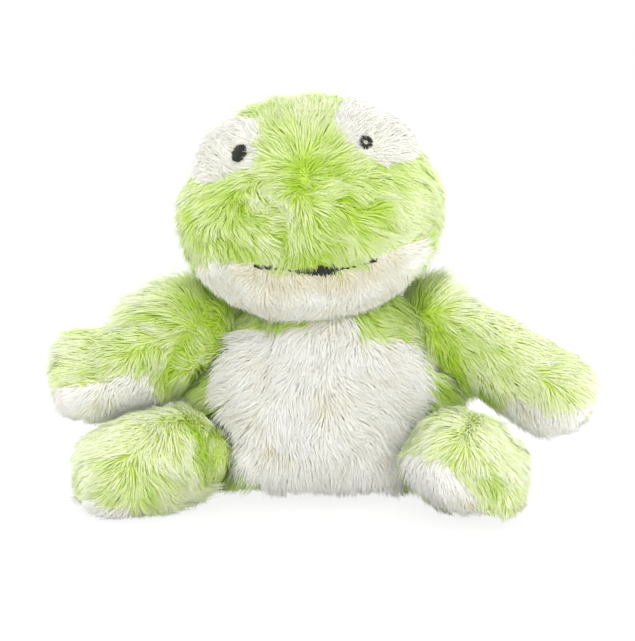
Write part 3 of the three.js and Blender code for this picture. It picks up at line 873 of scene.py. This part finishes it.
def scattered(tree, given, density, seed):
    """Points over the skin, each with what a strand that grows there needs."""
    cover = add(tree, READ, ["cover"], data_type="FLOAT")
    covered = add(tree, NUMBERS, [density, cover], operation="MULTIPLY")
    points = add(tree, "GeometryNodeDistributePointsOnFaces",
                 {"Mesh": given["Skin"], "Density": covered, "Seed": seed}).outputs
    here = add(tree, "GeometryNodeInputPosition")
    stray = add(tree, RANDOM, {0: (-1.0,) * 3, 1: (1.0,) * 3, 8: seed}, data_type="FLOAT_VECTOR")
    stray = add(tree, VECTORS, {0: stray, 3: given["Straying"]}, operation="SCALE")
    drawn = []
    for apart, low, high in STRAND_DRAWS:
        own_seed = add(tree, NUMBERS, [seed, apart], operation="ADD")
        drawn.append(add(tree, RANDOM, {2: low, 3: high, 8: own_seed}, data_type="FLOAT").outputs[1])
    shade, flying, share = drawn
    flying = add(tree, NUMBERS, [flying, FLYAWAYS], operation="POWER")
    share = add(tree, NUMBERS, [flying, FLYAWAY_LONGER, share], operation="MULTIPLY_ADD")
    length = add(tree, READ, ["length"], data_type="FLOAT")
    length = add(tree, NUMBERS, [length, share], operation="MULTIPLY")
    kept = points["Points"]
    values = {"grow": points["Normal"], "root": here, "stray": stray, "shade": shade, "length": length}
    for name, value in values.items():
        kept = add(tree, KEEP, {0: kept, 2: name, 3: value}, data_type=kind_of(name), domain="POINT")
    return kept


def gathered(tree, strands, seeds, prefix):
    """The strands, each with what its nearest seed has."""
    here = add(tree, "GeometryNodeInputPosition")
    index = add(tree, "GeometryNodeSampleNearest", [seeds, here], domain="POINT")
    for name in SAMPLED:
        kind = kind_of(name)
        value = add(tree, READ, [name], data_type=kind)
        value = add(tree, "GeometryNodeSampleIndex", [seeds, value, index], data_type=kind,
                    domain="POINT")
        strands = add(tree, KEEP, {0: strands, 2: prefix + name, 3: value}, data_type=kind,
                      domain="POINT")
    return strands


def map_place(tree, share, local):
    """A place in the finish's map. Across it: how deep the strand's shade is, and a little of
    which way round the strand it is; up it: the share of its length."""
    angle = add(tree, NUMBERS, [local[1], local[0]], operation="ARCTAN2")
    angle = add(tree, NUMBERS, [angle, 2 * math.pi], operation="DIVIDE")
    own = 0.0
    for name, part in SHADES.items():
        value = add(tree, READ, [name], data_type="FLOAT")
        own = add(tree, NUMBERS, [value, part, own], operation="MULTIPLY_ADD")
    own = add(tree, NUMBERS, [own, 1.0], operation="MINIMUM")
    own = add(tree, NUMBERS, [own, MAP_SPAN], operation="MULTIPLY")
    across = add(tree, NUMBERS, [angle, *MAP_ROUND[0]], operation="MULTIPLY_ADD")
    across = add(tree, NUMBERS, [own, across], operation="ADD")
    around = add(tree, NUMBERS, [angle], operation="ABSOLUTE")
    around = add(tree, NUMBERS, [around, *MAP_ROUND[1]], operation="MULTIPLY_ADD")
    along = add(tree, NUMBERS, [share, MAP_SPAN], operation="MULTIPLY")
    along = add(tree, NUMBERS, [along, around], operation="ADD")
    return add(tree, "ShaderNodeCombineXYZ", [across, along, 0.0])


def path_from(tree, path, share, prefix):
    """The path of a strand, or of the seed whose values have a prefix."""
    values = {name.title(): add(tree, READ, [prefix + name], data_type=kind_of(name))
              for name in ("root", "grow", "comb", "stray", "length")}
    return add(tree, "GeometryNodeGroup", {"Share": share, **values}, node_tree=path).outputs


def drawn_path(tree, path, given, share):
    """A strand's middle line, drawn to where its clump's and its tuft's seeds' own strands are,
    more so towards the tip, and the way that it runs."""
    alone = path_from(tree, path, share, "")
    centre = alone["Point"]
    matted = add(tree, READ, ["matted"], data_type="FLOAT")
    for name, power in DRAWN.items():
        strength = add(tree, NUMBERS, [given[f"{name.title()}ing"], matted], operation="MULTIPLY")
        pull = add(tree, NUMBERS, [share, power], operation="POWER")
        pull = add(tree, NUMBERS, [pull, strength], operation="MULTIPLY")
        seed_point = path_from(tree, path, share, f"{name}_")["Point"]
        centre = add(tree, "ShaderNodeMix", {0: pull, 4: centre, 5: seed_point},
                     data_type="VECTOR").outputs[1]
    return centre, alone["Way"]


def round_path(tree, given, centre, way, share, local):
    """Where a strand's sides are round its middle line, thinner towards the tip."""
    around = add(tree, "ShaderNodeCombineXYZ", [local[0], local[1], 0.0])
    around = add(tree, VECTORS, [around], operation="NORMALIZE")
    around = add(tree, "ShaderNodeSeparateXYZ", [around]).outputs
    stray = add(tree, READ, ["stray"], data_type="FLOAT_VECTOR")
    side = add(tree, VECTORS, [way, stray], operation="CROSS_PRODUCT")
    side = add(tree, VECTORS, [side], operation="NORMALIZE")
    other = add(tree, VECTORS, [way, side], operation="CROSS_PRODUCT")
    taper = add(tree, NUMBERS, [share, 2.0], operation="POWER")
    taper = add(tree, NUMBERS, [1.0, taper], operation="SUBTRACT")
    taper = add(tree, NUMBERS, [taper, 0.0], operation="MAXIMUM")
    radius = add(tree, NUMBERS, [given["Radius"], taper], operation="MULTIPLY")
    parts = []
    for part, outward in ((around[0], side), (around[1], other)):
        far = add(tree, NUMBERS, [part, radius], operation="MULTIPLY")
        parts.append(add(tree, VECTORS, {0: outward, 3: far}, operation="SCALE"))
    out = add(tree, VECTORS, parts, operation="ADD")
    placed = add(tree, VECTORS, [centre, out], operation="ADD")
    return add(tree, VECTORS, [placed, OVER_FLOOR], operation="MAXIMUM")


def pile_tree(path):
    """Pile on a patch of skin: strands scattered, bent to the comb, and drawn into clumps."""
    tree, given = node_group(
        "pile", {"Skin": "Geometry", "Strands": "Float", "Clumps": "Float", "Tufts": "Float",
                 "Radius": "Float", "Clumping": "Float", "Tufting": "Float", "Straying": "Float",
                 "Seed": "Int", "Finish": "Material"}, {"Pile": "Geometry"})
    seed = given["Seed"]
    strands = scattered(tree, given, given["Strands"], seed)
    for apart, name in enumerate(DRAWN, 1):
        own_seed = add(tree, NUMBERS, [seed, float(apart)], operation="ADD")
        seeds = scattered(tree, given, given[f"{name.title()}s"], own_seed)
        strands = gathered(tree, strands, seeds, f"{name}_")

    # A strand is a cone of three sides, one unit long, whose places are read before it is bent
    cone = add(tree, "GeometryNodeMeshCone",
               {"Vertices": 3, "Side Segments": 2, "Radius Bottom": 1.0, "Depth": 1.0},
               fill_type="NGON")
    grown, local = instanced(tree, strands, cone)
    share = add(tree, "ShaderNodeClamp", [local[2]])
    place = map_place(tree, share, local)
    grown = add(tree, KEEP, {0: grown, 2: "OFBake", 3: place}, data_type="FLOAT2", domain="CORNER")
    centre, way = drawn_path(tree, path, given, share)
    return ended(tree, grown, round_path(tree, given, centre, way, share, local), given["Finish"])


def made_by(tree, name, emitter, fields, values):
    """What a tree makes from an emitter's mesh with fields at its vertices, as one plain mesh."""
    for field, column in fields.items():
        kept = emitter.attributes.new(field, kind_of(field), "POINT")
        part = "vector" if field in PLACES_AND_WAYS else "value"
        kept.data.foreach_set(part, column.astype(np.float32).ravel())
    holder = object_of(f"{name}_emitter", emitter)
    modifier = holder.modifiers.new("maker", "NODES")
    modifier.node_group = tree
    sockets = {item.name: item.identifier for item in tree.interface.items_tree}
    for key, value in values.items():
        modifier[sockets[key]] = value
    piece = applied(holder, name)
    if "grow" in fields_of(piece.data):
        light_as_skin(piece.data)
    spent = [a for a in fields_of(piece.data)
             if a not in ("OFBake", "material_index", "sharp_face", "custom_normal")]
    for field in spent:
        piece.data.attributes.remove(piece.data.attributes[field])
    return piece


def fields_of(mesh):
    """A mesh's own attributes, by name."""
    return [a.name for a in mesh.attributes if not a.is_internal and not a.is_required]


def light_as_skin(mesh):
    """Pile passes light on from strand to strand, so each is lit much as the skin under it is."""
    skin_way, own_way = (np.empty((len(mesh.vertices), 3), np.float32) for _ in range(2))
    mesh.attributes["grow"].data.foreach_get("vector", skin_way.ravel())
    mesh.vertex_normals.foreach_get("vector", own_way.ravel())
    way = skin_way * LIT_AS_SKIN + own_way * (1 - LIT_AS_SKIN)
    facing = (way * own_way).sum(1)
    way = way + own_way * np.maximum(0, LEAST_FACING - facing)[:, None]
    mesh.normals_split_custom_set_from_vertices(unit(way).tolist())


def grow_pile(tree, name, skin, chosen, row, seed):
    """The pile on the chosen faces of a skin."""
    used, faces = cut_out(skin["points"], skin["faces"][chosen])
    emitter = mesh_of(name, skin["points"][used], faces)
    return made_by(tree, name, emitter, {field: skin[field][used] for field in GROWN}, {
        "Strands": row[3] / MM ** 2, "Clumps": 1 / CLUMP_GAP ** 2, "Tufts": 1 / TUFT_GAP ** 2,
        "Radius": STRAND_RADIUS, "Clumping": CLUMPING, "Tufting": TUFTING, "Straying": STRAYING,
        "Seed": seed, "Finish": FINISHES[row[0]]})


# Embroidery


def stitch_tree():
    """Stitches of thread, one at each vertex of an emitter that says how each lies."""
    tree, given = node_group(
        "stitches", {"Spots": "Geometry", "Thickness": "Float", "Arch": "Float", "Finish": "Material"},
        {"Stitches": "Geometry"})
    here = add(tree, "GeometryNodeInputPosition")
    spots = add(tree, KEEP, {0: given["Spots"], 2: "root", 3: here}, data_type="FLOAT_VECTOR",
                domain="POINT")
    thread = add(tree, "GeometryNodeMeshCylinder",
                 {"Vertices": 6, "Side Segments": 6, "Radius": 1.0, "Depth": 2.0}, fill_type="NGON")
    made, local = instanced(tree, spots, thread.outputs["Mesh"])
    bulge = add(tree, NUMBERS, [local[2], local[2]], operation="MULTIPLY")
    bulge = add(tree, NUMBERS, [1.0, bulge], operation="SUBTRACT")
    lift = add(tree, NUMBERS, [given["Arch"], bulge], operation="MULTIPLY")
    thick = add(tree, NUMBERS, [bulge, THREAD_RADIUS, THREAD_RADIUS], operation="MULTIPLY_ADD")
    thick = add(tree, NUMBERS, [given["Thickness"], thick], operation="MULTIPLY")
    wide, high = (add(tree, NUMBERS, [local[i], thick], operation="MULTIPLY") for i in range(2))
    placed, along, out = (add(tree, READ, [name], data_type="FLOAT_VECTOR")
                          for name in ("root", "along", "out"))
    aside = add(tree, VECTORS, [along, out], operation="CROSS_PRODUCT")
    aside = add(tree, VECTORS, [aside], operation="NORMALIZE")
    for way, far in ((along, local[2]), (out, lift), (aside, wide), (out, high)):
        part = add(tree, VECTORS, {0: way, 3: far}, operation="SCALE")
        placed = add(tree, VECTORS, [placed, part], operation="ADD")
    return ended(tree, made, placed, given["Finish"])


def on_skin(tree, spot):
    """Where the sight of a place in the photograph meets a skin, and the skin's way out there."""
    point, normal, _, _ = tree.ray_cast(Vector(EYE), Vector(sight(spot)))
    return np.array(point), np.array(normal)


def embroider(tree, skin_tree, node, lines, raised, thickness, arch):
    """Stitches between pairs of places in the photograph, laid on the head's skin. How far over
    it they lie, how thick they are and how high they arch are in millimetres."""
    ends = [[on_skin(skin_tree, spot) for spot in line] for line in lines]
    first, last = (np.array([pair[i][0] for pair in ends]) for i in range(2))
    out = unit(np.array([pair[0][1] + pair[1][1] for pair in ends]))
    middle = (first + last) / 2 + out * raised * MM
    emitter = bpy.data.meshes.new(node)
    emitter.from_pydata(middle.tolist(), [], [])
    piece = made_by(tree, f"{node}_stitches", emitter, {"along": (last - first) / 2, "out": out},
                    {"Thickness": thickness * MM, "Arch": arch * MM, "Finish": THREAD})
    named(piece, "head", node)


def eye_lines(across, down, turn, long, wide, is_open, draws):
    """The two ends of each satin stitch of an eye: across it, or round it where it is open."""
    angle = math.radians(turn)
    ahead = np.array((math.cos(angle), -math.sin(angle)))
    aside = np.array((math.sin(angle), math.cos(angle)))
    middle = np.array((across, down))
    if is_open:
        turning, sizing, ending = ROUND_UNEVEN
        for step in range(ROUND_STITCHES):
            at = step / ROUND_STITCHES * 2 * math.pi + draws.normal() * turning
            rim, lean = (ahead * math.cos(a) * long + aside * math.sin(a) * wide
                         for a in (at, at + ROUND_LEAN))
            first = middle + rim * (1 + draws.normal() * sizing)
            yield first, middle + lean * (ROUND_END + draws.normal() * ending)
        return
    widening, wandering, slanting = SATIN_UNEVEN
    for step in range(SATIN_STITCHES):
        share = (step + 0.5) / (SATIN_STITCHES / 2) - 1
        half = wide * math.sqrt(1 - share ** 2) * (1 + draws.normal() * widening)
        centre = middle + ahead * long * share + aside * draws.normal() * wandering
        slant = ahead * draws.normal() * slanting
        yield centre - aside * half - slant, centre + aside * half + slant


def mouth_lines(draws):
    """The two ends of each of the mouth's short slanting stitches, side by side along the lip."""
    for across in np.arange(MOUTH[0][0], MOUTH[-1][0], MOUTH_STEP):
        tall = np.interp(across, *zip(*MOUTH)) * (1 + draws.normal() * TALL_UNEVEN)
        if draws.random() > tall:
            continue
        down = np.interp(across, *zip(*LIP)) - MOUTH_RISE[0] - MOUTH_RISE[1] * tall
        down += draws.normal() * (PLACE_UNEVEN[0] + PLACE_UNEVEN[1] * tall)
        lean = MOUTH_SLANT[0] + draws.normal() * MOUTH_SLANT[1]
        yield (across - lean, down - tall), (across + lean, down + tall)


def make_face(skin, draws):
    """The head's embroidery."""
    tree = stitch_tree()
    skin_tree = BVHTree.FromPolygons(skin["points"].tolist(), skin["faces"].tolist())
    for node, eye in EYES.items():
        embroider(tree, skin_tree, node, list(eye_lines(*eye, draws)), *EYE_THREAD)
    embroider(tree, skin_tree, "mouth_stitching", list(mouth_lines(draws)), *MOUTH_THREAD)


# Materials


def material(name):
    """A new material, its tree and its shader."""
    made = bpy.data.materials.new(name)
    made.use_nodes = True
    tree = made.node_tree
    return made, tree, tree.nodes["Principled BSDF"]


def set_stops(node, stops):
    """Sets a colour ramp's stops, each a place and a colour."""
    band = node.color_ramp.elements
    while len(band) < len(stops):
        band.new(0.5)
    for element, (place, colour) in zip(band, stops):
        element.position = place
        element.color = linear(colour)


def set_inputs(node, values):
    """Sets a node's inputs by name."""
    for name, value in values.items():
        node.inputs[name].default_value = value


def pile_finish(name, pale, deep):
    """Brushed polyester pile: fine bright fibres, paler at their worn tips than at the root."""
    made, tree, shader = material(name)
    place = add(tree, "ShaderNodeSeparateXYZ", [add(tree, "ShaderNodeUVMap", uv_map="OFBake")]).outputs
    both = [add(tree, "ShaderNodeValToRGB", [place[1]]) for _ in range(2)]
    for node, colours in zip(both, (pale, deep)):
        set_stops(node, list(zip(RAMP_STOPS, colours)))
    colour = add(tree, "ShaderNodeMix", {0: place[0], 6: both[0], 7: both[1]}, data_type="RGBA")
    tree.links.new(colour.outputs[2], shader.inputs["Base Color"])
    set_inputs(shader, {
        "Roughness": 0.8, "Specular IOR Level": 0.08, "Sheen Weight": 0.12, "Sheen Roughness": 0.5,
        "Subsurface Weight": 0.6, "Subsurface Scale": 0.6 * MM, "Subsurface Radius": (1.0, 1.0, 1.0)})
    return made


def noisy_finish(name, gap, detail, stops, values):
    """A finish whose colour follows a fine noise through some stops, with the noise itself."""
    made, tree, shader = material(name)
    place = add(tree, "ShaderNodeTexCoord").outputs["Object"]
    noise = add(tree, "ShaderNodeTexNoise", {"Vector": place, "Scale": 1 / gap, "Detail": detail})
    shade = add(tree, "ShaderNodeValToRGB", [noise])
    set_stops(shade, stops)
    tree.links.new(shade.outputs[0], shader.inputs["Base Color"])
    set_inputs(shader, values)
    return made, tree, shader, noise.outputs[0]


def cloth_finish(name, colour, shadow, gap, detail=3.0):
    """Cloth or wadding: small even loops or threads, with shade painted darker between them."""
    made, tree, shader, loops = noisy_finish(name, gap, detail, ((0.35, shadow), (0.65, colour)),
                                             {"Roughness": 0.95, "Specular IOR Level": 0.15})
    bump = add(tree, "ShaderNodeBump", {"Height": loops, "Strength": 0.5, "Distance": gap / 3})
    tree.links.new(bump.outputs[0], shader.inputs["Normal"])
    return made


def thread_finish(name, colour, shine):
    """Trilobal polyester embroidery thread: dark, with a soft line of painted sheen along each strand."""
    return noisy_finish(name, 0.5 * MM, 2.0, ((0.35, colour), (0.7, shine)),
                        {"Roughness": 0.5, "Specular IOR Level": 0.2, "Sheen Weight": 0.05})[0]


# The deep colours give the pile's uneven tone, and its painted shade in pits, creases, under the lip and at the
# floor
FINISHES = {
    "green": pile_finish("green_polyester_pile", ("#c8dc54", "#dceb98", "#ecf4ca", "#f6fae8"),
                         ("#78a000", "#8eb800", "#a4ca00", "#bedc3c")),
    "white": pile_finish("white_polyester_pile", ("#f6f5ea", "#f8f8f0", "#fafaf6", "#fcfcfa"),
                         ("#c2b682", "#d0c79c", "#dfd9bc", "#eae6d2")),
    "short_white": pile_finish("short_white_polyester_pile", ("#e5e6da", "#ebece2", "#eff0e8", "#f2f2ec"),
                               ("#bcba9e", "#c8c6b0", "#d2d0be", "#dad9cb")),
}
# Each cloth's second colour is the shade painted between its loops or threads
BACKINGS = {
    "green": cloth_finish("green_knitted_backing", "#c2da5c", "#a6c030", 1.2 * MM),
    "white": cloth_finish("white_knitted_backing", "#eeecde", "#dcd8c4", 1.2 * MM),
}
WADDING = cloth_finish("polyester_wadding", "#f2f1ec", "#d9d7cf", 3 * MM, 6.0)
COTTON = cloth_finish("plain_woven_cotton", "#e2dcc8", "#c4bca2", 0.8 * MM)
# Its second colour is painted sheen
THREAD = thread_finish("black_embroidery_thread", "#0a0b06", "#2a2e1c")


# Making the frog


def named(piece, body, replaces=None):
    """Tells the frame what a piece is."""
    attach(piece, body)
    if replaces:
        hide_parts(replaces)


def make_backing(node, body, skin, rows, cloth):
    """A sewn panel's knitted backing."""
    used, faces = cut_out(skin["points"], skin["faces"][rows])
    backing = object_of(f"{node}_backing", mesh_of(node, skin["points"][used], faces))
    backing.data.materials.append(BACKINGS[cloth])
    thick = backing.modifiers.new("thickness", "SOLIDIFY")
    thick.thickness = CLOTH
    named(applied(backing, f"{node}_backing"), body, node)


def parts_of(skin, rows, density):
    """A panel's faces, parted round its middle so that no part has too many strands."""
    faces = skin["faces"][rows]
    corners = skin["points"][faces]
    crossed = np.cross(corners[:, 2] - corners[:, 0], corners[:, 3] - corners[:, 1])
    area = (np.linalg.norm(crossed, axis=1) / 2 * skin["cover"][faces[:, 0]]).sum()
    count = max(1, math.ceil(area / MM ** 2 * density / MOST_STRANDS))
    centres = corners.mean(1) - corners.reshape(-1, 3).mean(0)
    order = np.argsort(np.argsort(np.arctan2(centres[:, 0], -centres[:, 1])))
    return [rows[order * count // len(order) == part] for part in range(count)]


def make_skin(tree, body, skin, seed):
    """A skin's sewn panels of backing, and the pile on each."""
    face_panel = skin["panel"][skin["faces"][:, 0]]
    for number, (node, row) in enumerate(PANELS[body].items()):
        cloth = row[0].removeprefix("short_")
        rows = np.flatnonzero(face_panel == number)
        make_backing(node, body, skin, rows, cloth)
        parts = parts_of(skin, rows, row[3])
        for part, chosen in enumerate(parts, 1):
            name = f"{node}_pile" + (f"_{part}" if len(parts) > 1 else "")
            pile = grow_pile(tree, name, skin, chosen, row, seed)
            seed += 3          # one seed each for its strands, its clumps and its tufts
            named(pile, body)
    return seed


def make_core(node, body, finish, slot, voxel, sink, rounds, fill):
    """What a skin holds: a CAD solid made softly round, and a little smaller than it is."""
    points, faces = remeshed([node], voxel * MM)
    points = spread_over(points, faces, rounds)
    points = points - normals_of(points, faces) * sink * MM
    piece = object_of(f"{node}_core", mesh_of(node, points, faces))
    piece.data.materials.append(finish)
    named(piece, body, node)


def make_frog():
    """Each body's skin with its pile and its filling, and the face, bean bag and gusset."""
    tree = pile_tree(strand_path())
    draws = np.random.default_rng(RANDOM_SEED)
    seed = 1
    for body in PANELS:
        skin = skin_of(body, draws)
        seed = make_skin(tree, body, skin, seed)
        if body == "head":
            make_face(skin, draws)
        make_core(f"{body}_filling", body, WADDING, "polyester_wadding", *FILLING)
    make_core("seat_bean_bag", "body", COTTON, "cotton_cloth", *BEAN_BAG)
    make_core("neck_gusset", "neck", COTTON, "cotton_cloth", *GUSSET)


# Stage, light and camera


def make_floor():
    """White paper that keeps a soft shadow, which the camera sees paler farther away."""
    corners = np.array(((-1, -1, 0), (1, -1, 0), (1, 1, 0), (-1, 1, 0))) * FLOOR_HALF
    floor = object_of("floor", mesh_of("floor", corners, ((0, 1, 2, 3),)))
    made, tree, shader = material("white_paper_floor")
    set_inputs(shader, {"Base Color": linear("#f4f4f4"), "Roughness": 1.0, "Specular IOR Level": 0.0})
    seen = add(tree, "ShaderNodeLightPath").outputs["Is Camera Ray"]
    white = add(tree, "ShaderNodeEmission", {"Color": (1, 1, 1, 1), "Strength": 1.0})
    place = add(tree, "ShaderNodeTexCoord").outputs["Object"]
    away = add(tree, VECTORS, [place], operation="LENGTH").outputs["Value"]
    clear = add(tree, "ShaderNodeMapRange", [away, *SHADOW_REACH, 1 - SHADOWED, 1.0])
    part = add(tree, NUMBERS, [seen, clear], operation="MULTIPLY")
    mixed = add(tree, "ShaderNodeMixShader", {0: part, 1: shader, 2: white})
    tree.links.new(mixed.outputs[0], tree.nodes["Material Output"].inputs["Surface"])
    floor.data.materials.append(made)


def make_lights():
    """Plain soft studio light; the camera sees the room white, whatever it gives."""
    world = bpy.data.worlds.new("studio")
    bpy.context.scene.world = world
    world.use_nodes = True
    tree = world.node_tree
    seen = add(tree, "ShaderNodeLightPath").outputs["Is Camera Ray"]
    room = add(tree, NUMBERS, [seen, 1 - ROOM, ROOM], operation="MULTIPLY_ADD")
    tree.links.new(room.outputs[0], tree.nodes["Background"].inputs["Strength"])
    tree.nodes["Background"].inputs["Color"].default_value = (1, 1, 1, 1)
    for name, (place, size, power) in LAMPS.items():
        lamp = bpy.data.lights.new(name, "AREA")
        lamp.size = size
        lamp.energy = power
        look_from(object_of(name, lamp), Vector(place), Vector(AIM) - Vector(place))


def look_from(thing, place, way):
    """Puts a lamp or the camera at a place, looking some way."""
    thing.location = place
    thing.rotation_mode = "QUATERNION"
    thing.rotation_quaternion = way.to_track_quat("-Z", "Y")


def make_camera():
    """The photograph's own camera."""
    camera = object_of("camera", bpy.data.cameras.new("camera"))
    camera.data.sensor_width = SENSOR
    camera.data.lens = SENSOR * VIEW_DISTANCE / PIXEL / PHOTO_WIDTH
    look_from(camera, EYE, Vector(-BACK))
    bpy.context.scene.camera = camera
    bpy.context.scene.view_settings.view_transform = "Standard"


make_frog()
make_floor()
make_lights()
make_camera()
